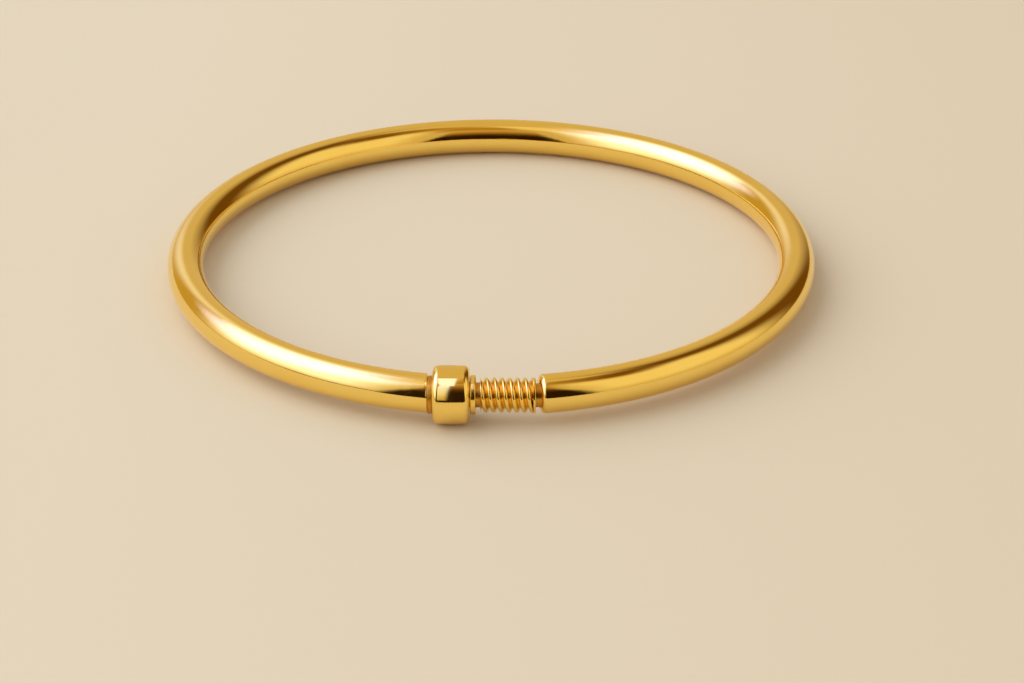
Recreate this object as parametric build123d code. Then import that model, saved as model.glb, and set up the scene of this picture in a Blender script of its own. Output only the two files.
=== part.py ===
from build123d import *
import math
import os

# A kada bangle, in millimetres: a round gold rod bent to an open ring, whose gap is bridged by a turned
# screw with a barrel nut. The pieces are drawn with the ring flat and its gap towards -Y, and then laid down
# as they rest: the nut is thicker than the rod, so the ring leans on it and its back touches the surface.

# The hoop: an inner diameter of 2 6/16 inches, which bangle sellers call size 2.6.
INNER_DIAMETER = 60.3
ROD_RADIUS = 1.9
HOOP_RADIUS = INNER_DIAMETER / 2 + ROD_RADIUS
# The left end is faced square to the screw, and the right end is cut square to the rod and rounded over.
LEFT_END_X = -5.42
RIGHT_END_X = 5.3
LEFT_EDGE_ROUNDING = 0.08
RIGHT_EDGE_ROUNDING = 0.5

# The screw's axis lies parallel to X, a little inside the front of the rod's centre line.
AXIS_INSET = 0.15
AXIS_Y = AXIS_INSET - HOOP_RADIUS

# The screw, by the places along X where its sections end.
SWIVEL_TIP_X = -8.2
SHANK_START_X = -5.39
THREAD_START_X = -0.35
LAND_START_X = 4.74
LAND_END_X = 4.94
NECK_TIP_X = 6.3
SWIVEL_RADIUS = 0.7
SHANK_RADIUS = 1.2
LAND_RADIUS = 1.7
NECK_RADIUS = 1.15
TIP_CHAMFER = 0.15
LAND_ROUNDING = 0.05

# The thread: a right-hand one with two ridges side by side, so that it advances by two pitches a turn.
# A crest faces straight up at CREST_X.
STARTS = 2
CORE_RADIUS = 1.22
CREST_RADIUS = 1.68
PITCH = 0.736
ADVANCE = STARTS * PITCH
CREST_X = 0.32
CREST_ROUNDING = 0.2
FLANK_ANGLE = 25.0
# Each ridge's foot is sunk this far into the core, so that they become one solid.
FOOT_SINK = 0.05
# The shank and the neck are driven this far into the core for the same reason.
OVERLAP = 0.8

# The hidden bores in the hoop's ends: the play round the screw, and the room past its tips.
BORE_PLAY = 0.05
BORE_END_ROOM = 0.1

# The pieces on the shank, each a short turned ring.
SHANK_GAP = 0.03
LEFT_COLLAR_X = (-5.39, -4.99)
LEFT_COLLAR_RADIUS = 1.84
LEFT_COLLAR_ROUNDING = 0.08
NUT_X = (-4.96, -1.37)
NUT_RADIUS = 2.85
NUT_CROWN = 0.03
NUT_ROUNDING = 0.6
RIGHT_COLLAR_X = (-1.32, -0.79)
RIGHT_COLLAR_RADIUS = 1.9
RIGHT_COLLAR_ROUNDING = 0.12

# How the bangle rests: it leans by the difference between the nut's radius and the rod's over the whole ring.
LEAN = math.asin((NUT_RADIUS - ROD_RADIUS) / (HOOP_RADIUS - AXIS_Y))
CENTRE_HEIGHT = ROD_RADIUS + HOOP_RADIUS * math.sin(LEAN)
AT_REST = Pos(0, 0, CENTRE_HEIGHT) * Rot(-math.degrees(LEAN), 0, 0)


def on_axis(x):
    """The place on the screw's axis at x, turned so that a piece drawn along Z points along X."""
    return Pos(x, AXIS_Y, 0) * Rot(0, 90, 0)


def round_bar(x_range, radius):
    """A plain bar on the screw's axis between two places along X."""
    low, high = x_range
    return on_axis(low) * Cylinder(radius, high - low, align=(Align.CENTER, Align.CENTER, Align.MIN))


def turned_ring(x_range, radius, rounding, crown=0.0):
    """A ring round the shank between two places along X, with its outer rims rounded and its face crowned."""
    low, high = x_range
    bore = SHANK_RADIUS + SHANK_GAP
    edge = radius - crown
    if crown:
        face = ThreePointArc((low, edge), ((low + high) / 2, radius), (high, edge))
    else:
        face = Line((low, edge), (high, edge))
    sides_and_bore = Polyline((high, edge), (high, bore), (low, bore), (low, edge))
    section = make_face([face, *sides_and_bore.edges()])
    rims = section.vertices().sort_by(Axis.Y)[-2:]
    section = fillet(rims, rounding)
    return Pos(0, AXIS_Y, 0) * revolve(section, Axis.X, 360)


def make_hoop():
    """The bent rod: a circle carried round Z from end to end, with its left end faced and both ends bored."""
    right_angle = math.degrees(math.asin(RIGHT_END_X / HOOP_RADIUS))
    section = Plane.XZ * Pos(HOOP_RADIUS, 0) * Circle(ROD_RADIUS)
    ring = Rot(0, 0, right_angle - 90) * revolve(section, Axis.Z, 360 - right_angle)
    room = HOOP_RADIUS
    facing = Pos(LEFT_END_X, -HOOP_RADIUS, 0) * Box(
        -LEFT_END_X, room, room, align=(Align.MIN, Align.CENTER, Align.CENTER)
    )
    ring -= facing
    ends = ring.faces().filter_by(GeomType.PLANE).sort_by(Axis.X)
    ring = fillet(ends[0].edges(), LEFT_EDGE_ROUNDING)
    ends = ring.faces().filter_by(GeomType.PLANE).sort_by(Axis.X)
    ring = fillet(ends[-1].edges(), RIGHT_EDGE_ROUNDING)
    swivel_bore = round_bar((SWIVEL_TIP_X - BORE_END_ROOM, 0), SWIVEL_RADIUS + BORE_PLAY)
    neck_bore = round_bar((0, NECK_TIP_X + BORE_END_ROOM), NECK_RADIUS + BORE_PLAY)
    return ring - swivel_bore - neck_bore


def ridge_section():
    """The ridge across its length: two flanks and a rounded crest, on a foot below the core's surface."""
    slope = math.radians(FLANK_ANGLE)
    depth = CREST_RADIUS - CORE_RADIUS
    half_crest = CREST_ROUNDING * math.cos(slope)
    shoulder = depth - CREST_ROUNDING * (1 - math.sin(slope))
    half_foot = half_crest + (shoulder + FOOT_SINK) * math.tan(slope)
    crest = ThreePointArc((shoulder, -half_crest), (depth, 0), (shoulder, half_crest))
    flanks_and_foot = Polyline(
        (shoulder, half_crest), (-FOOT_SINK, half_foot), (-FOOT_SINK, -half_foot), (shoulder, -half_crest)
    )
    return make_face([crest, *flanks_and_foot.edges()])


def make_thread():
    """The core with its ridges wound round it and the land at its end, faced flat at both ends."""
    first_turn = math.floor((THREAD_START_X - CREST_X) / ADVANCE) - 1
    last_turn = math.ceil((LAND_END_X - CREST_X) / ADVANCE) + 1
    start_x, end_x = CREST_X + first_turn * ADVANCE, CREST_X + last_turn * ADVANCE
    helix = Helix(ADVANCE, end_x - start_x, CORE_RADIUS)
    across_start = Plane(origin=helix @ 0, x_dir=(1, 0, 0), z_dir=(0, -1, 0))
    ridge = sweep(across_start * ridge_section(), path=helix, is_frenet=True)
    # Turning Z to X takes the helix's first point to the underside, and half a turn brings it to the top.
    ridge = Pos(start_x, AXIS_Y, 0) * Rot(180, 0, 0) * Rot(0, 90, 0) * ridge
    threaded = round_bar((start_x - ADVANCE, end_x + 2 * ADVANCE), CORE_RADIUS)
    for start in range(STARTS):
        threaded += Pos(start * PITCH, 0, 0) * ridge
    threaded += round_bar((LAND_START_X, LAND_END_X + PITCH), LAND_RADIUS)
    width = 4 * LAND_RADIUS
    faced = Pos(THREAD_START_X, AXIS_Y, 0) * Box(
        LAND_END_X - THREAD_START_X, width, width, align=(Align.MIN, Align.CENTER, Align.CENTER)
    )
    threaded &= faced
    end_face = threaded.faces().filter_by(Plane.YZ).sort_by(Axis.X)[-1]
    return fillet(end_face.edges(), LAND_ROUNDING)


def make_threaded_rod():
    """The screw, one turned piece: swivel pin, shank, thread, land and neck."""
    shank = round_bar((SHANK_START_X, THREAD_START_X + OVERLAP), SHANK_RADIUS)
    swivel = round_bar((SWIVEL_TIP_X, SHANK_START_X + OVERLAP), SWIVEL_RADIUS)
    swivel = chamfer(swivel.edges().sort_by(Axis.X)[0], TIP_CHAMFER)
    neck = round_bar((LAND_START_X - OVERLAP, NECK_TIP_X), NECK_RADIUS)
    neck = chamfer(neck.edges().sort_by(Axis.X)[-1], TIP_CHAMFER)
    return make_thread() + (shank + swivel) + neck


NODES = {
    "hoop": make_hoop(),
    "threaded_rod": make_threaded_rod(),
    "left_collar": turned_ring(LEFT_COLLAR_X, LEFT_COLLAR_RADIUS, LEFT_COLLAR_ROUNDING),
    "barrel_nut": turned_ring(NUT_X, NUT_RADIUS, NUT_ROUNDING, NUT_CROWN),
    "right_collar": turned_ring(RIGHT_COLLAR_X, RIGHT_COLLAR_RADIUS, RIGHT_COLLAR_ROUNDING),
}

os.makedirs("parts", exist_ok=True)
for name, piece in NODES.items():
    solids = (AT_REST * piece).solids()
    placed = solids[0] if len(solids) == 1 else Compound(solids)
    export_step(placed, f"parts/{name}.step")
    print(name, "volume", round(placed.volume, 2), "mm3")
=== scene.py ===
# %% [markdown]
# # A kada bangle, dressed in gold
#
# A kada is a stiff bangle: here a round gold rod bent to an open ring. A turned screw with a barrel nut
# bridges its gap at the front. The shapes and places were settled in CAD, so this script loads those solids
# as a fixed frame and builds finer skins over them, with the polish, the light and the camera of the
# photograph.

# %% Load the frame
import math

import bpy
import numpy as np
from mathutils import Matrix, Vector


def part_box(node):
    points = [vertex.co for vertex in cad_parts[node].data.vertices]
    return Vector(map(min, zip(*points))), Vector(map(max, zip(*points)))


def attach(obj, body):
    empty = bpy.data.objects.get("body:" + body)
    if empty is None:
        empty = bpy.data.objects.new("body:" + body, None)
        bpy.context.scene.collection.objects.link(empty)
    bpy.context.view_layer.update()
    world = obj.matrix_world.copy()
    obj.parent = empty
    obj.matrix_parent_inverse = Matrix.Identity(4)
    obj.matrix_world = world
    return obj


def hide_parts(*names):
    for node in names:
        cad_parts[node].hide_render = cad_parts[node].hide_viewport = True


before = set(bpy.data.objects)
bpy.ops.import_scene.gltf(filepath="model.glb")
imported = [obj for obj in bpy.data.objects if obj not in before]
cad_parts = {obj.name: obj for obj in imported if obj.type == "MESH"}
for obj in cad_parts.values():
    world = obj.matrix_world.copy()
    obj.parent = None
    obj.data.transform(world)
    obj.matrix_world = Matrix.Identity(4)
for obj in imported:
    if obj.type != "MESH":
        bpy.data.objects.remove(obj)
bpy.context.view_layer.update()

# %% [markdown]
# ## Measuring the solids
#
# Each turned piece of the closure is a body of revolution whose axis is parallel to X, so its box gives its
# two ends and its radius. Reading them from the frame keeps the skins on the solids, with nothing typed in
# twice. The hoop lies with a small lean, because the nut is thicker than the rod. Its own sizes are named
# here, and the closure's axis is read from the nut.

# %% Read the closure's places from the boxes
MM = 0.001


def turned_extent(node):
    """The two ends along X of a turned piece, and its largest radius, which is half its height."""
    low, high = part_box(node)
    return (low.x, high.x), (high.z - low.z) / 2


nut_ends, nut_radius = turned_extent("barrel_nut")
left_collar_ends, left_collar_radius = turned_extent("left_collar")
right_collar_ends, right_collar_radius = turned_extent("right_collar")
screw_ends, land_radius = turned_extent("threaded_rod")
nut_low, nut_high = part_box("barrel_nut")
axis_at_rest = (nut_low + nut_high) / 2
for label, ends, radius in (
    ("nut", nut_ends, nut_radius), ("left collar", left_collar_ends, left_collar_radius),
    ("right collar", right_collar_ends, right_collar_radius), ("screw", screw_ends, land_radius),
):
    print(label, "from and to:", [round(x / MM, 2) for x in ends], "radius:", round(radius / MM, 3))

# %% Name the hoop's sizes and its lean
ROD_RADIUS = 1.9 * MM
INNER_DIAMETER = 60.3 * MM
HOOP_RADIUS = INNER_DIAMETER / 2 + ROD_RADIUS
AXIS_INSET = 0.15 * MM
AXIS_Y = AXIS_INSET - HOOP_RADIUS
LEAN = math.asin((nut_radius - ROD_RADIUS) / (HOOP_RADIUS - AXIS_Y))
CENTRE_HEIGHT = ROD_RADIUS + HOOP_RADIUS * math.sin(LEAN)


def lay_down(points):
    """Points drawn with the ring flat, turned about X by the lean and lifted until the ring rests on the
    floor."""
    x, y, z = np.moveaxis(np.asarray(points, float), -1, 0)
    cosine, sine = math.cos(LEAN), math.sin(LEAN)
    return np.stack([x, y * cosine + z * sine, z * cosine - y * sine + CENTRE_HEIGHT], axis=-1)


axis_point = lay_down([0, AXIS_Y, 0])
print("lean:", round(math.degrees(LEAN), 3), "degrees; the closure's axis is off the nut's by",
      round(float(np.hypot(axis_point[1] - axis_at_rest.y, axis_point[2] - axis_at_rest.z)) / MM, 4), "mm")

# %% [markdown]
# ## The camera
#
# The photograph looks down on the ring at about 26 degrees with a long lens, so the far side is only a
# little smaller than the near side. The camera's distance, height and lens come from fitting a ring of this
# size to the outline in the picture. Both the camera and the point it looks at are given for the flat ring
# and then laid down with it.

# %% Place the camera
CAMERA_DISTANCE = 309.65 * MM
CAMERA_ABOVE_RING = math.radians(25.04)
CAMERA_TO_THE_RIGHT = math.radians(1.305)
LOOKS_AT = np.array([2.49, -20.51, 0.0]) * MM
LENS = 103.27
SENSOR_WIDTH = 36.0

camera_place = CAMERA_DISTANCE * np.array([
    math.cos(CAMERA_ABOVE_RING) * math.sin(CAMERA_TO_THE_RIGHT),
    -math.cos(CAMERA_ABOVE_RING) * math.cos(CAMERA_TO_THE_RIGHT),
    math.sin(CAMERA_ABOVE_RING),
])
camera_data = bpy.data.cameras.new("studio_camera")
camera_data.lens = LENS
camera_data.sensor_width = SENSOR_WIDTH
camera_data.clip_start, camera_data.clip_end = 0.01, 20.0
camera = bpy.data.objects.new("studio_camera", camera_data)
bpy.context.scene.collection.objects.link(camera)
camera.location = lay_down(camera_place)
line_of_sight = Vector(lay_down(LOOKS_AT)) - camera.location
camera.rotation_euler = line_of_sight.to_track_quat("-Z", "Y").to_euler()
bpy.context.scene.camera = camera
print("camera looks down by", round(math.degrees(math.asin(-line_of_sight.normalized().z)), 2), "degrees")

# %% [markdown]
# ## Skins from rings of points
#
# Everything on this bangle is a rod or a turned ring, so every skin is a stack of rings of points. A skin
# that ends in two points, like the hoop with its blind bores, is closed there by fans of triangles. A skin
# with a hole through it, like the nut, is closed by joining its last ring to its first. The points are
# worked out as whole arrays and handed to the mesh in one go.

# %% Make a closed skin from its rings
SHARP_ANGLE = math.radians(38)


def signed_volume(points, triangles):
    """The volume inside triangles that all face one way, a sixth of the sum of their corners' triple
    products."""
    a, b, c = (points[triangles[:, k]] for k in range(3))
    return float(np.einsum("ij,ij->i", a, np.cross(b, c)).sum()) / 6


def close_skin(name, rings, bar, through=False):
    """A mesh object from rings of points (rows, columns, xyz).

    Neighbouring rings are joined by four-sided faces, round the whole of each ring. With through, the
    last ring is joined to the first. Otherwise the middle of the first and of the last ring becomes a
    pole with a fan. bar holds the same points as they were on the straight bar, which the polish marks
    follow.
    """
    rows, columns, _ = rings.shape
    index = np.arange(rows * columns).reshape(rows, columns)
    lower = index if through else index[:-1]
    upper = np.roll(index, -1, axis=0) if through else index[1:]
    faces = np.stack([lower, np.roll(lower, -1, 1), np.roll(upper, -1, 1), upper], axis=-1).reshape(-1, 4)
    points, marks = rings.reshape(-1, 3), bar.reshape(-1, 3)
    fans = np.empty((0, 3), int)
    if not through:
        start, end = len(points), len(points) + 1
        points = np.vstack([points, rings[0].mean(0), rings[-1].mean(0)])
        marks = np.vstack([marks, bar[0].mean(0), bar[-1].mean(0)])
        first, last = index[0], index[-1]
        fans = np.vstack([
            np.stack([np.full(columns, start), np.roll(first, -1), first], axis=-1),
            np.stack([np.full(columns, end), last, np.roll(last, -1)], axis=-1),
        ])
    triangles = np.vstack([faces[:, [0, 1, 2]], faces[:, [0, 2, 3]], fans])
    volume = signed_volume(points, triangles)
    if volume < 0:
        faces, fans = faces[:, ::-1], fans[:, ::-1]
    mesh = bpy.data.meshes.new(name)
    mesh.from_pydata(lay_down(points).tolist(), [], faces.tolist() + fans.tolist())
    mesh.attributes.new("bar", "FLOAT_VECTOR", "POINT").data.foreach_set("vector", marks.ravel() / MM)
    mesh.polygons.foreach_set("use_smooth", np.ones(len(mesh.polygons), bool))
    mesh.set_sharp_from_angle(angle=SHARP_ANGLE)
    piece = bpy.data.objects.new(name, mesh)
    bpy.context.scene.collection.objects.link(piece)
    print(name, "has", len(triangles), "triangles and holds", round(abs(volume) / MM**3, 2), "mm3")
    return piece


# %% [markdown]
# ## The hoop
#
# On the real kada the hoop is a drawn rod, bent round a mandrel and polished. A torus would close the gap,
# so the skin is written in the rod's own terms: how far round the ring, how far out from the rod's centre
# line, and the angle about it. The right end is cut square to the rod and rounded over, and the left end is
# faced flat for the nut's collar. The hidden bores that hold the screw are part of the same closed skin.

# %% Describe a point of the rod
ROUND_COLUMNS = 112
HOOP_ROWS = 700
RIGHT_END_X, RIGHT_ROUNDING = 5.3 * MM, 0.5 * MM
RIGHT_END_ANGLE = math.asin(RIGHT_END_X / HOOP_RADIUS)
LEFT_END_X, LEFT_ROUNDING = -5.42 * MM, 0.08 * MM
RIGHT_BORE_RADIUS, RIGHT_BORE_END_X = 1.2 * MM, 6.4 * MM
LEFT_BORE_RADIUS, LEFT_BORE_END_X = 0.75 * MM, -8.3 * MM

around = np.linspace(0, 2 * np.pi, ROUND_COLUMNS, endpoint=False)
print("gap in the ring, mm:", round((RIGHT_END_X - LEFT_END_X) / MM, 2))


def rod_point(sweep, out, angle):
    """The point at a sweep round the ring from the front, a distance out from the rod's centre line, and
    an angle about it: the centre line's radius plus out times the cosine, turned by the sweep, and out
    times the sine as the height."""
    sweep, out, angle = np.broadcast_arrays(sweep, out, angle)
    reach = HOOP_RADIUS + out * np.cos(angle)
    return np.stack([reach * np.sin(sweep), -reach * np.cos(sweep), out * np.sin(angle)], axis=-1)


# %% Draw the right end, from the bottom of its bore outwards
END_ROWS = 18


def right_end():
    """Rings from the bore's bottom to the full rod. In the end's plane the bore's mouth is an ellipse,
    because the screw's axis crosses the plane at the end's own angle. Its distance from the rod's centre
    at each angle is the positive root of a quadratic. From there the rings widen to the rod's radius,
    and fall back along the rod by the quarter circle of the rounding."""
    tilt = RIGHT_END_ANGLE
    offset = -AXIS_Y / math.cos(tilt) - HOOP_RADIUS
    wide, tall = RIGHT_BORE_RADIUS / math.cos(tilt), RIGHT_BORE_RADIUS
    a = (np.cos(around) / wide) ** 2 + (np.sin(around) / tall) ** 2
    b = -offset * np.cos(around) / wide**2
    c = (offset / wide) ** 2 - 1
    mouth = (-b + np.sqrt(b * b - a * c)) / a
    share = np.sin(np.linspace(0, np.pi / 2, END_ROWS))[:, None]
    out = mouth + (ROD_RADIUS - mouth) * share
    past = np.clip(out - (ROD_RADIUS - RIGHT_ROUNDING), 0, RIGHT_ROUNDING)
    back = RIGHT_ROUNDING - np.sqrt(RIGHT_ROUNDING**2 - past**2)
    rings = rod_point(tilt + back / HOOP_RADIUS, out, around)
    bottom = rings[0].copy()
    bottom[:, 0] = RIGHT_BORE_END_X
    return np.concatenate([bottom[None], rings])


# %% Draw the left end, from the full rod to the bottom of its bore
ROUNDING_ROWS = 6


def left_end():
    """Rings from the full rod to the bore's bottom. The end lies in a plane of constant x, so each
    point's sweep is the one whose sine brings it there. A small quarter circle rounds the edge, and from
    its inner ring the face runs in straight lines to the bore's round mouth."""
    turn = np.linspace(0, np.pi / 2, ROUNDING_ROWS)[:, None]
    out = ROD_RADIUS - LEFT_ROUNDING * (1 - np.cos(turn)) + 0 * around
    x = LEFT_END_X - LEFT_ROUNDING * (1 - np.sin(turn))
    sweep = 2 * np.pi - np.arcsin(-x / (HOOP_RADIUS + out * np.cos(around)))
    rings = rod_point(sweep, out, around)
    mouth = np.stack([
        np.full(ROUND_COLUMNS, LEFT_END_X),
        AXIS_Y - LEFT_BORE_RADIUS * np.cos(around),
        LEFT_BORE_RADIUS * np.sin(around),
    ], axis=-1)
    halfway = (rings[-1] + mouth) / 2
    bottom = mouth.copy()
    bottom[:, 0] = LEFT_BORE_END_X
    return np.concatenate([rings, [halfway, mouth, bottom]])


# %% Join the ends by the long run of the rod
def draw_hoop():
    """The rings of the whole hoop. Between the ends the sweep goes evenly from the last ring of the
    right end to the first ring of the left end, at each angle about the rod."""
    start, end = right_end(), left_end()
    first = np.arctan2(start[-1, :, 0], -start[-1, :, 1])
    last = 2 * np.pi + np.arctan2(end[0, :, 0], -end[0, :, 1])
    share = np.linspace(0, 1, HOOP_ROWS)[1:-1, None]
    run = rod_point(first + (last - first) * share, ROD_RADIUS, around)
    return np.concatenate([start, run, end])


def straighten(rings):
    """The same points as they lay on the straight bar: the length along it, and the place across it."""
    sweep = np.mod(np.arctan2(rings[..., 0], -rings[..., 1]), 2 * np.pi)
    out = np.hypot(rings[..., 0], rings[..., 1]) - HOOP_RADIUS
    return np.stack([HOOP_RADIUS * sweep, out, rings[..., 2]], axis=-1)


hoop_rings = draw_hoop()
hoop_skin = close_skin("bent_hoop", hoop_rings, straighten(hoop_rings))
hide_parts("hoop")
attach(hoop_skin, "hoop")

# %% [markdown]
# ## Turned pieces
#
# The nut and the two collars come off a lathe. Each is a profile, given as places along the axis and radii,
# carried round the axis. Their rims are rounded, the nut's generously and the collars' just enough to catch
# the light, and the nut's face is crowned a little so that its reflections bend.

# %% Carry a profile round the axis
LATHE_COLUMNS = 160
RIM_ROWS = 12


def carry_round(profile, columns=LATHE_COLUMNS):
    """Rings from a profile of (x, radius) rows, each a circle about the closure's axis, and the same points
    on the bar: the length along the profile in place of x."""
    angle = np.linspace(0, 2 * np.pi, columns, endpoint=False)
    x, radius = profile[:, :1] + 0 * angle, profile[:, 1:]
    across, up = radius * np.cos(angle), radius * np.sin(angle)
    steps = np.hypot(*np.diff(profile, axis=0).T)
    length = np.concatenate([[0], np.cumsum(steps)])[:, None] + 0 * angle
    return np.stack([x, AXIS_Y + across, up], -1), np.stack([length, across, up], -1)


def rim(centre_x, centre_radius, rounding, start, end):
    """A quarter circle of the profile about its centre, from one angle to another, measured from +X."""
    turn = np.radians(np.linspace(start, end, RIM_ROWS))
    return np.stack([centre_x + rounding * np.cos(turn), centre_radius + rounding * np.sin(turn)], axis=-1)


def ring_profile(ends, radius, rounding, bore, crown=0.0, face_rows=16):
    """The closed profile of a ring, from its bore up the left side, over the face and down the right
    side. The face is a parabola that falls by the crown from its middle to its edges."""
    low, high = ends
    edge = radius - crown - rounding
    share = np.linspace(-1, 1, face_rows)[1:-1]
    half = (high - low) / 2 - rounding
    face = np.stack([(low + high) / 2 + half * share, radius - crown * share**2], axis=-1)
    sides = np.linspace(bore, edge, 4)[:, None]
    left = np.hstack([np.full_like(sides, low), sides])
    right = np.hstack([np.full_like(sides, high), sides[::-1]])
    bore_wall = np.array([[low + (high - low) * 2 / 3, bore], [low + (high - low) / 3, bore]])
    return np.concatenate([
        left[:-1], rim(low + rounding, edge, rounding, 180, 90), face,
        rim(high - rounding, edge, rounding, 90, 0), right[1:], bore_wall,
    ])


# %% Turn the nut and the collars
SHANK_RADIUS = 1.2 * MM
BORE = SHANK_RADIUS + 0.03 * MM
NUT_ROUNDING, NUT_CROWN = 0.6 * MM, 0.03 * MM
THIN_ROUNDING, THICK_ROUNDING = 0.08 * MM, 0.12 * MM


def turned_ring(name, node, ends, radius, rounding, crown=0.0):
    """A closed ring skin on the closure's axis that replaces one CAD node and rides with the screw."""
    rings, bar = carry_round(ring_profile(ends, radius, rounding, BORE, crown))
    piece = close_skin(name, rings, bar, through=True)
    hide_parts(node)
    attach(piece, "screw")
    return piece


nut_skin = turned_ring(
    "round_nut", "barrel_nut", nut_ends, nut_radius, NUT_ROUNDING, NUT_CROWN
)
thin_collar = turned_ring(
    "thin_collar", "left_collar", left_collar_ends, left_collar_radius, THIN_ROUNDING
)
thick_collar = turned_ring(
    "thick_collar", "right_collar", right_collar_ends, right_collar_radius, THICK_ROUNDING
)

# %% [markdown]
# ## The screw
#
# The screw is one turned piece: a thin swivel pin hidden in the left end, a plain shank under the collars
# and the nut, seven coarse crests, a land that closes the thread, and a neck that enters the right end. The
# thread is a radius that depends on the place along the axis and the angle about it. It has two starts, so
# a crest that faces up at one x moves on by two pitches for each turn. The distance to the nearest crest,
# measured along the axis, gives the height of the ridge.

# %% Work out the ridge
STARTS = 2
PITCH = 0.736 * MM
CORE_RADIUS, CREST_RADIUS = 1.22 * MM, 1.68 * MM
CREST_X = 0.32 * MM
CREST_ROUNDING = 0.2 * MM
FLANK_ANGLE = math.radians(25)
THREAD_START_X, LAND_START_X, LAND_END_X = -0.35 * MM, 4.74 * MM, 4.94 * MM
THREAD_ROWS = 330


def ridge_radius(x, angle):
    """The thread's radius. Near a crest it is the crest's small circle, then a straight flank that falls
    at the flank angle to the core. The angle grows from the front over the top. A crest faces up at a
    quarter turn, and the thread is right-hand, so going back from there to the front the crest moves on
    towards +X."""
    turned = STARTS * (np.pi / 2 - angle) / (2 * np.pi)
    from_crest = (x - CREST_X) / PITCH - turned
    distance = np.abs(from_crest - np.round(from_crest)) * PITCH
    half_crest = CREST_ROUNDING * math.cos(FLANK_ANGLE)
    cap = CREST_RADIUS - CREST_ROUNDING + np.sqrt(np.clip(CREST_ROUNDING**2 - distance**2, 0, None))
    shoulder = CREST_RADIUS - CREST_ROUNDING * (1 - math.sin(FLANK_ANGLE))
    flank = shoulder - (distance - half_crest) / math.tan(FLANK_ANGLE)
    return np.maximum(np.where(distance < half_crest, cap, flank), CORE_RADIUS)


# %% Put the screw together
SWIVEL_RADIUS, NECK_RADIUS = 0.7 * MM, 1.15 * MM
TIP_CHAMFER = 0.15 * MM
SWIVEL_END_X = -5.39 * MM
SHANK_MIDDLE_X = -3.0 * MM
LAND_ROUNDING = 0.05 * MM
# The inner rings of the flat tips, round which the closing fans are drawn.
SWIVEL_TIP_RING, NECK_TIP_RING = 0.3 * MM, 0.5 * MM
SCREW_COLUMNS = 192
# ROOT_SHARE scales the painted shade in the thread's roots.
ROOT_SHARE = 0.12


def draw_screw():
    """The rings of the screw and how sunk each point is, which sets how much painted shade it gets. Plain
    stretches are circles of one radius, and the threaded stretch takes its radius from the ridge. The shank
    and the neck are fully sunk, and the thread by a share of its depth below the crest."""
    left, right = screw_ends
    angle = np.linspace(0, 2 * np.pi, SCREW_COLUMNS, endpoint=False)
    before = np.array([
        [left, SWIVEL_TIP_RING], [left, SWIVEL_RADIUS - TIP_CHAMFER], [left + TIP_CHAMFER, SWIVEL_RADIUS],
        [SWIVEL_END_X, SWIVEL_RADIUS], [SWIVEL_END_X, SHANK_RADIUS], [SHANK_MIDDLE_X, SHANK_RADIUS],
        [THREAD_START_X, SHANK_RADIUS],
    ])
    after = np.array([
        [LAND_START_X, land_radius], [LAND_END_X - LAND_ROUNDING, land_radius],
        [LAND_END_X, land_radius - LAND_ROUNDING], [LAND_END_X, NECK_RADIUS],
        [right - TIP_CHAMFER, NECK_RADIUS], [right, NECK_RADIUS - TIP_CHAMFER], [right, NECK_TIP_RING],
    ])
    threaded_x = np.linspace(THREAD_START_X, LAND_START_X, THREAD_ROWS)[:, None]
    x = np.concatenate([before[:, :1], threaded_x, after[:, :1]]) + 0 * angle
    radius = np.concatenate([
        before[:, 1:] + 0 * angle, ridge_radius(threaded_x, angle), after[:, 1:] + 0 * angle
    ])
    rings = np.stack([x, AXIS_Y - radius * np.cos(angle), radius * np.sin(angle)], axis=-1)
    bar = np.stack([x, radius * np.cos(angle), radius * np.sin(angle)], axis=-1)
    below_crest = np.clip((CREST_RADIUS - radius) / (CREST_RADIUS - CORE_RADIUS), 0, 1)
    threaded = (x > THREAD_START_X) & (x < LAND_START_X)
    return rings, bar, np.where(threaded, ROOT_SHARE * below_crest, below_crest)


screw_rings, screw_bar, screw_depth = draw_screw()
screw_skin = close_skin("closure_screw", screw_rings, screw_bar)
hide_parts("threaded_rod")
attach(screw_skin, "screw")

# The two poles lie inside the ends, fully sunk.
depth = np.concatenate([screw_depth.ravel(), [1, 1]])
screw_skin.data.attributes.new("depth", "FLOAT", "POINT").data.foreach_set("value", depth)
print("crests along the top:", round((LAND_START_X - THREAD_START_X) / PITCH))

# %% [markdown]
# The thin collar lies in a crevice between the hoop and the nut, so it gets the same painted shade as the
# bare shank.

# %% Give the thin collar the full painted shade of the sunk parts
sunk = np.full(len(thin_collar.data.vertices), 1.0)
thin_collar.data.attributes.new("depth", "FLOAT", "POINT").data.foreach_set("value", sunk)
print("sunk points of the thin collar:", len(sunk))

# %% [markdown]
# ## Gold
#
# High-carat gold is a deep warm yellow, and nearly all its colour is in what it reflects: red comes back
# whole, about seven tenths of the green and a fifth of the blue. The hoop and the nut are buffed to a
# mirror, so their roughness is low, and varies only where hands have touched. Fine buffing lines run along
# the straight bar, and are so shallow that they only soften the edges of reflections.

# %% Helpers for node trees
def new_material(name):
    """An empty node material, its node tree, and its principled shader."""
    material = bpy.data.materials.new(name)
    material.use_nodes = True
    nodes = material.node_tree.nodes
    nodes.clear()
    output = nodes.new("ShaderNodeOutputMaterial")
    shader = nodes.new("ShaderNodeBsdfPrincipled")
    material.node_tree.links.new(shader.outputs["BSDF"], output.inputs["Surface"])
    return material, material.node_tree, shader


def add(tree, kind, inputs=(), **settings):
    """A node of a kind with settings and inputs. An input is a value or another node's output."""
    node = tree.nodes.new(kind)
    for key, value in settings.items():
        setattr(node, key, value)
    for key, value in dict(inputs).items():
        if isinstance(value, bpy.types.NodeSocket):
            tree.links.new(value, node.inputs[key])
        else:
            node.inputs[key].default_value = value
    return node


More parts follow.
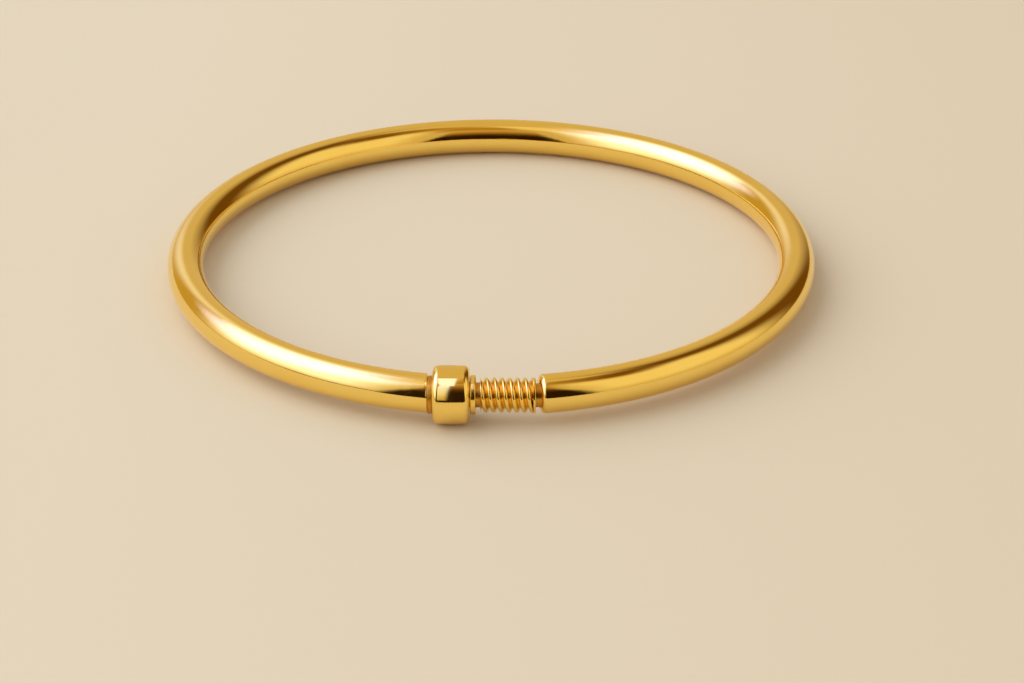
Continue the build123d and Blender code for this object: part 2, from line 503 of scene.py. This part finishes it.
def noise(tree, vector, scale, detail=2.0, roughness=0.5, stretch=(1, 1, 1)):
    """Noise on a vector that is first scaled by stretch, from 0 to 1."""
    placed = add(tree, "ShaderNodeMapping", {"Vector": vector, "Scale": stretch})
    made = add(tree, "ShaderNodeTexNoise", {
        "Vector": placed.outputs["Vector"], "Scale": scale, "Detail": detail, "Roughness": roughness,
    })
    return made.outputs["Fac"]


def spread(tree, value, low, high, clamp_from=(0.0, 1.0)):
    """A value carried from one range onto another, without leaving it."""
    node = add(tree, "ShaderNodeMapRange", {
        "Value": value, "From Min": clamp_from[0], "From Max": clamp_from[1], "To Min": low, "To Max": high,
    })
    return node.outputs["Result"]


def product(tree, a, b):
    """The product of two values."""
    return add(tree, "ShaderNodeMath", {0: a, 1: b}, operation="MULTIPLY").outputs["Value"]


# %% Mix the two golds
POLISHED_COLOUR = (1.0, 0.72, 0.19, 1)
POLISHED_DEEP = (0.98, 0.68, 0.16, 1)
SMUDGE_HAZE, LINE_HAZE = (0.05, 0.10), (-0.01, 0.02)
RIPPLE_HEIGHT, SCRATCH_HEIGHT = 0.000004, 0.0000006


def buffed_gold():
    """The mirror finish of the hoop and the nut."""
    material, tree, shader = new_material("buffed_gold")
    bar = add(tree, "ShaderNodeAttribute", attribute_name="bar").outputs["Vector"]
    clouds = noise(tree, bar, 0.22, detail=3)
    tint = add(tree, "ShaderNodeMix", {
        "Factor": spread(tree, clouds, 0, 0.7, (0.35, 0.75)), "A": POLISHED_COLOUR, "B": POLISHED_DEEP,
    }, data_type="RGBA")
    tree.links.new(tint.outputs["Result"], shader.inputs["Base Color"])
    smudges = noise(tree, bar, 0.6, detail=4, roughness=0.6)
    lines = noise(tree, bar, 9.0, detail=3, stretch=(0.06, 1, 1))
    haze = add(tree, "ShaderNodeMath", {
        0: spread(tree, smudges, *SMUDGE_HAZE, (0.35, 0.7)), 1: spread(tree, lines, *LINE_HAZE),
    }, operation="ADD")
    tree.links.new(haze.outputs["Value"], shader.inputs["Roughness"])
    ripple = add(tree, "ShaderNodeBump", {
        "Height": noise(tree, bar, 0.8, detail=1), "Distance": RIPPLE_HEIGHT, "Strength": 1.0,
    })
    scratches = add(tree, "ShaderNodeBump", {
        "Height": lines, "Distance": SCRATCH_HEIGHT, "Strength": 1.0, "Normal": ripple.outputs["Normal"],
    })
    tree.links.new(scratches.outputs["Normal"], shader.inputs["Normal"])
    shader.inputs["Metallic"].default_value = 1.0
    return material


# %% [markdown]
# The collars and the screw come straight off the lathe and keep fine rings from the tool. The sunk parts,
# which no buff reaches, are duller than the rest, and carry painted shade: a browner colour where shade falls
# in the recesses.

# %% The turned finish
TURNED_COLOUR = (0.98, 0.69, 0.16, 1)
# The sunk colour is painted shade for the recesses: the thread's roots, the shank, the neck and the thin
# collar.
RECESS_SHADE_COLOUR = (0.60, 0.26, 0.015, 1)
RING_HAZE, RECESS_HAZE = (0.1, 0.2), (0, 0.15)
TOOL_MARK_HEIGHT = 0.000002


def lathe_gold():
    """The finish of the collars and the screw, with painted shade in the sunk parts."""
    material, tree, shader = new_material("lathe_gold")
    bar = add(tree, "ShaderNodeAttribute", attribute_name="bar").outputs["Vector"]
    deep = add(tree, "ShaderNodeAttribute", attribute_name="depth").outputs["Fac"]
    clouds = noise(tree, bar, 1.4, detail=3)
    # Painted shade: sunk points are mixed towards the brown by their depth, in patches from the noise.
    recess_shade = product(tree, deep, spread(tree, clouds, 0.75, 1))
    tint = add(tree, "ShaderNodeMix", {
        "Factor": recess_shade, "A": TURNED_COLOUR, "B": RECESS_SHADE_COLOUR,
    }, data_type="RGBA")
    tree.links.new(tint.outputs["Result"], shader.inputs["Base Color"])
    rings = noise(tree, bar, 14.0, detail=2, stretch=(1, 0.03, 0.03))
    haze = add(tree, "ShaderNodeMath", {
        0: spread(tree, rings, *RING_HAZE), 1: spread(tree, recess_shade, *RECESS_HAZE),
    }, operation="ADD")
    tree.links.new(haze.outputs["Value"], shader.inputs["Roughness"])
    tool_marks = add(tree, "ShaderNodeBump", {
        "Height": rings, "Distance": TOOL_MARK_HEIGHT, "Strength": 1.0,
    })
    tree.links.new(tool_marks.outputs["Normal"], shader.inputs["Normal"])
    shader.inputs["Metallic"].default_value = 1.0
    return material


buffed, lathed = buffed_gold(), lathe_gold()
for piece in (hoop_skin, nut_skin):
    piece.data.materials.append(buffed)
for piece in (thin_collar, thick_collar, screw_skin):
    piece.data.materials.append(lathed)
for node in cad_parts.values():
    node.data.materials.clear()
    node.data.materials.append(buffed if node.name in ("hoop", "barrel_nut") else lathed)
print("materials:", buffed.name, lathed.name)

# %% [markdown]
# ## The floor
#
# The bangle lies on a plain pale surface, which fills the whole picture. It is one large square, far larger
# than the view, with a paper-fine grain and slow changes of tone.

# %% Lay the floor
FLOOR_HALF_SIZE = 1.5
FLOOR_COLOUR = (0.79, 0.685, 0.525, 1)
FLOOR_SHADE = (0.72, 0.59, 0.42, 1)
SHADE_FROM, SHADE_TO, SHADE_REACH = -0.04, 0.1, 0.9
FLOOR_ROUGHNESS, FLOOR_SHEEN = 0.85, 0.1
GRAIN_SCALE, GRAIN_HEIGHT = 900.0, 0.00002


def pale_floor():
    """The floor's matt surface, with painted shade that makes it a little deeper towards the right, away from
    the light.
    """
    material, tree, shader = new_material("pale_floor")
    place = add(tree, "ShaderNodeTexCoord").outputs["Object"]
    to_the_right = add(tree, "ShaderNodeSeparateXYZ", {0: place}).outputs["X"]
    tone = add(tree, "ShaderNodeMath", {
        0: spread(tree, to_the_right, 0.0, SHADE_REACH, (SHADE_FROM, SHADE_TO)),
        1: spread(tree, noise(tree, place, 6.0, detail=2), -0.05, 0.1),
    }, operation="ADD")
    tint = add(tree, "ShaderNodeMix", {
        "Factor": tone.outputs["Value"], "A": FLOOR_COLOUR, "B": FLOOR_SHADE,
    }, data_type="RGBA")
    tree.links.new(tint.outputs["Result"], shader.inputs["Base Color"])
    grain = add(tree, "ShaderNodeBump", {
        "Height": noise(tree, place, GRAIN_SCALE), "Distance": GRAIN_HEIGHT,
    })
    tree.links.new(grain.outputs["Normal"], shader.inputs["Normal"])
    shader.inputs["Roughness"].default_value = FLOOR_ROUGHNESS
    shader.inputs["Specular IOR Level"].default_value = FLOOR_SHEEN
    return material


def stage_sheet(name, corners, material):
    """A flat four-cornered sheet that belongs to the studio, not to the bangle."""
    mesh = bpy.data.meshes.new(name)
    mesh.from_pydata(corners, [], [(0, 1, 2, 3)])
    mesh.materials.append(material)
    sheet = bpy.data.objects.new(name, mesh)
    bpy.context.scene.collection.objects.link(sheet)
    return sheet


far = FLOOR_HALF_SIZE
stage_sheet("pale_surface", [(-far, -far, 0), (far, -far, 0), (far, far, 0), (-far, far, 0)], pale_floor())
print("floor:", 2 * far, "m square")

# %% [markdown]
# ## The light
#
# Polished gold has no look of its own: it shows the room. So there are two rooms, both painted on the sky
# by direction. The floor is lit by a plain pale one with a large soft window at the left. The gold reflects
# a richer one: the same window with a bright heart, a beige wall at the right, and brown corners between
# them. The window is bluer than it looks, because gold returns so little blue. The camera sees a plain
# backdrop.

# %% Helpers to paint by direction
def window(tree, value, low, high, soft):
    """1 between two limits and 0 outside them, with a smooth step of twice soft about each limit."""
    def step(edge, below, above):
        return add(tree, "ShaderNodeMapRange", {
            "Value": value, "From Min": edge - soft, "From Max": edge + soft,
            "To Min": below, "To Max": above,
        }, interpolation_type="SMOOTHSTEP").outputs["Result"]
    return product(tree, step(low, 0.0, 1.0), step(high, 1.0, 0.0))


def paint(tree, under, colour, mask):
    """A colour laid over another where the mask is 1."""
    mixed = add(tree, "ShaderNodeMix", {"Factor": mask, "A": under, "B": (*colour, 1)}, data_type="RGBA")
    return mixed.outputs["Result"]


def pointing(sideways, upright):
    """The unit vector at an azimuth and a height in degrees, with azimuth 0 towards the camera and positive
    to the right: the sine and the negative cosine of the azimuth, times the height's cosine, and its sine."""
    turn, rise = math.radians(sideways), math.radians(upright)
    return math.sin(turn) * math.cos(rise), -math.cos(turn) * math.cos(rise), math.sin(rise)


# %% Find each direction's azimuth and height
world = bpy.data.worlds.new("studio")
bpy.context.scene.world = world
world.use_nodes = True
sky = world.node_tree
sky.nodes.clear()
direction = add(sky, "ShaderNodeTexCoord").outputs["Generated"]
split = add(sky, "ShaderNodeSeparateXYZ", {0: direction}).outputs
azimuth = add(sky, "ShaderNodeMath", {
    0: split["X"], 1: product(sky, split["Y"], -1.0),
}, operation="ARCTAN2")
azimuth = add(sky, "ShaderNodeMath", {0: azimuth.outputs["Value"]}, operation="DEGREES").outputs["Value"]
height = add(sky, "ShaderNodeMath", {0: split["Z"]}, operation="ARCSINE")
height = add(sky, "ShaderNodeMath", {0: height.outputs["Value"]}, operation="DEGREES").outputs["Value"]


def patch(under, colour, sideways, upright, soft):
    """A colour laid over the room between limits in azimuth and in height, soft by two angles."""
    mask = product(sky, window(sky, azimuth, *sideways, soft[0]), window(sky, height, *upright, soft[1]))
    return paint(sky, under, colour, mask)


# %% Paint the plain room that lights the floor
PLAIN_WALL = (0.60, 0.585, 0.56)
PLAIN_WINDOW = ((2.1, 2.1, 2.08), (-152, -40), (10, 70), (16, 12))
plain_room = patch((*PLAIN_WALL, 1), *PLAIN_WINDOW)
print("the plain room's window, degrees:", PLAIN_WINDOW[1], "by", PLAIN_WINDOW[2])

# %% Paint the room that the gold reflects
WALL = (0.67, 0.53, 0.31)
# Each patch has its colour, its limits in azimuth and in height in degrees, and how soft those limits are.
PATCHES = (
    ((0.88, 0.74, 0.50), (-131, 22), (69, 95), (8, 4)),
    ((0.42, 0.22, 0.01), (-21, 123), (61, 86), (16, 14)),
    ((0.92, 0.79, 0.54), (38, 157), (8, 68), (9, 14)),
    ((0.20, 0.08, 0.00), (67, 138), (58, 76), (16, 8)),
    ((0.15, 0.065, 0.005), (113, 159), (-2, 65), (16, 6)),
    ((1.32, 1.42, 2.20), (-158, -42), (8, 60), (14, 13)),
    ((0.54, 0.37, 0.08), (-152, -108), (-5, 39), (16, 2)),
)
HORIZON = (
    ((0.60, 0.42, 0.14), (-190, 190), (-95, 1.2), (1, 0.8)),
    ((0.20, 0.09, 0.01), (-78, -10), (-95, 2.6), (12, 1)),
)
GLOW_COLOUR = (1.76, 1.85, 5.2)
GLOW_CENTRE = pointing(-101, 50.5)
GLOW_REACH = math.radians(38)
GLOW_LIMITS = ((-152, -40, 4), (2, 71, 8))

room = (*WALL, 1)
for spot in PATCHES:
    room = patch(room, *spot)
towards_glow = add(sky, "ShaderNodeVectorMath", {0: direction, 1: GLOW_CENTRE}, operation="DOT_PRODUCT")
glow = add(sky, "ShaderNodeMapRange", {
    "Value": towards_glow.outputs["Value"], "From Min": math.cos(GLOW_REACH), "From Max": 1.0,
}, interpolation_type="SMOOTHSTEP").outputs["Result"]
inside = product(sky, window(sky, azimuth, *GLOW_LIMITS[0]), window(sky, height, *GLOW_LIMITS[1]))
room = paint(sky, room, GLOW_COLOUR, product(sky, glow, inside))
for spot in HORIZON:
    room = patch(room, *spot)
print("the reflected room has", len(PATCHES), "patches and", len(HORIZON), "strips along the horizon")

# %% Give each kind of ray its own room
BACKDROP = (0.79, 0.665, 0.485, 1)
ray = add(sky, "ShaderNodeLightPath").outputs
shown = add(sky, "ShaderNodeMix", {
    "Factor": ray["Is Glossy Ray"], "A": plain_room, "B": room,
}, data_type="RGBA")
shown = add(sky, "ShaderNodeMix", {
    "Factor": ray["Is Camera Ray"], "A": shown.outputs["Result"], "B": BACKDROP,
}, data_type="RGBA")
light = add(sky, "ShaderNodeBackground", {"Color": shown.outputs["Result"], "Strength": 1.0})
add(sky, "ShaderNodeOutputWorld", {"Surface": light.outputs["Background"]})
bpy.context.scene.view_settings.view_transform = "Standard"
print("world nodes:", len(sky.nodes))

# %% [markdown]
# A dark card is set up between the bangle and the camera, which looks through it. It is near,
# so the front of the ring reflects it wider than the back does. Only reflections see it: it throws no
# shade. The cards are sheets that give off their own colour, so two helpers serve them all.

# %% Helpers for cards
def card_material(name):
    """An empty material, its node tree, and the three parts of the place on the card."""
    material = bpy.data.materials.new(name)
    material.use_nodes = True
    tree = material.node_tree
    tree.nodes.clear()
    place = add(tree, "ShaderNodeTexCoord").outputs["Object"]
    return material, tree, add(tree, "ShaderNodeSeparateXYZ", {0: place}).outputs


def glow_by_height(tree, height, foot, top, colours, mask):
    """Ends a card's material. It gives off a colour that changes between its foot and its top, through
    stops at shares of its height, where the mask is 1, and is clear where the mask is 0."""
    ramp = add(tree, "ShaderNodeValToRGB", {"Fac": spread(tree, height, 0, 1, (foot, top))})
    stops = ramp.color_ramp.elements
    while len(stops) < len(colours):
        stops.new(1.0)
    for stop, (share, colour) in zip(stops, colours):
        stop.position, stop.color = share, (*colour, 1)
    shine = add(tree, "ShaderNodeEmission", {"Color": ramp.outputs["Color"], "Strength": 1.0})
    mixed = add(tree, "ShaderNodeMixShader", {
        0: mask, 1: add(tree, "ShaderNodeBsdfTransparent").outputs["BSDF"], 2: shine.outputs["Emission"],
    })
    add(tree, "ShaderNodeOutputMaterial", {"Surface": mixed.outputs["Shader"]})


# %% Set the dark card in front of the bangle
CARD_Y, CARD_HEIGHT = -0.124, 0.268
CARD_FOOT, CARD_SHOULDER, SHOULDER_HEIGHT = 0.077, 0.058, 0.1
CARD_SOFT, CARD_SOFT_TOP = 0.008, 0.044
# The card's colour at a few shares of its height.
CARD_COLOURS = (
    (0.0, (0.022, 0.009, 0.001)), (0.25, (0.022, 0.009, 0.001)), (0.375, (0.095, 0.043, 0.003)),
    (0.55, (0.32, 0.18, 0.05)), (0.88, (0.58, 0.38, 0.15)),
)


def card_black():
    """A dark card's surface, browner towards the top, narrower up to its shoulder, and faded at its edges."""
    material, tree, part = card_material("card_black")
    half_width = add(tree, "ShaderNodeMapRange", {
        "Value": part["Z"], "From Max": SHOULDER_HEIGHT, "To Min": CARD_FOOT, "To Max": CARD_SHOULDER,
    }).outputs["Result"]
    sideways = add(tree, "ShaderNodeMath", {0: part["X"]}, operation="ABSOLUTE").outputs["Value"]
    from_edge = add(tree, "ShaderNodeMath", {
        0: half_width, 1: sideways,
    }, operation="SUBTRACT").outputs["Value"]
    mask = product(tree, window(tree, from_edge, 0.0, 1.0, CARD_SOFT),
                   window(tree, part["Z"], -1.0, CARD_HEIGHT, CARD_SOFT_TOP))
    glow_by_height(tree, part["Z"], 0, CARD_HEIGHT, CARD_COLOURS, mask)
    return material


def upright_card(name, left, right, y, foot, top, material):
    """A sheet that faces the bangle from the front, between two places along X and two heights."""
    return stage_sheet(name, [(left, y, foot), (right, y, foot), (right, y, top), (left, y, top)], material)


side, top = CARD_FOOT + CARD_SOFT, CARD_HEIGHT + CARD_SOFT_TOP
card = upright_card("dark_card", -side, side, CARD_Y, 0, top, card_black())
print("dark card, mm:", round(2 * side / MM), "wide and", round(top / MM), "high")

# %% [markdown]
# A small white card over the nut puts the bright window shape on its shoulder. It slopes so that the back
# of the hoop sees only its edge. A flap hangs down from its front and brightens the nut's left side, from
# white at the top to gold at the foot. Both shine only for what is close to them, so the far side of the
# ring stays dark.

# %% Hold the white card and its flap over the nut
NEAR = 0.075
WHITE = (1.3, 1.4, 3.0)
OVER_CORNERS = (
    (-0.0100, -0.057, 0.049), (-0.0028, -0.057, 0.049), (-0.0022, -0.031, 0.036), (-0.0094, -0.031, 0.036),
)
OVER_FOOT, OVER_TOP, OVER_PAST_X = 0.036, 0.049, 1.0
FLAP_Y, FLAP_FOOT, FLAP_TOP = -0.057, 0.006, 0.049
FLAP_LEFT_X, FLAP_RIGHT_X, FLAP_SOFT = -0.0112, -0.0052, 0.0007
FLAP_COLOURS = (
    (0.02, (0.62, 0.44, 0.16)), (0.28, (0.96, 0.94, 1.06)), (0.70, (1.05, 1.15, 2.3)), (1.0, WHITE),
)


def card_white(name, colours, foot, top, right):
    """A bright card's surface, which fades out at its right edge, and shines only for what is near."""
    material, tree, part = card_material(name)
    distance = add(tree, "ShaderNodeLightPath").outputs["Ray Length"]
    near = add(tree, "ShaderNodeMath", {0: distance, 1: NEAR}, operation="LESS_THAN").outputs["Value"]
    mask = product(tree, near, window(tree, part["X"], -1.0, right, FLAP_SOFT))
    glow_by_height(tree, part["Z"], foot, top, colours, mask)
    return material


over = stage_sheet("white_card", OVER_CORNERS, card_white(
    "card_white", ((0.0, WHITE), (1.0, WHITE)), OVER_FOOT, OVER_TOP, OVER_PAST_X
))
flap = upright_card(
    "white_flap", FLAP_LEFT_X, FLAP_RIGHT_X + FLAP_SOFT, FLAP_Y, FLAP_FOOT, FLAP_TOP,
    card_white("flap_white", FLAP_COLOURS, FLAP_FOOT, FLAP_TOP, FLAP_RIGHT_X),
)
for sheet in (card, over, flap):
    sheet.visible_camera = sheet.visible_diffuse = sheet.visible_shadow = False
print("cards seen by reflections alone:", [sheet.name for sheet in (card, over, flap)])
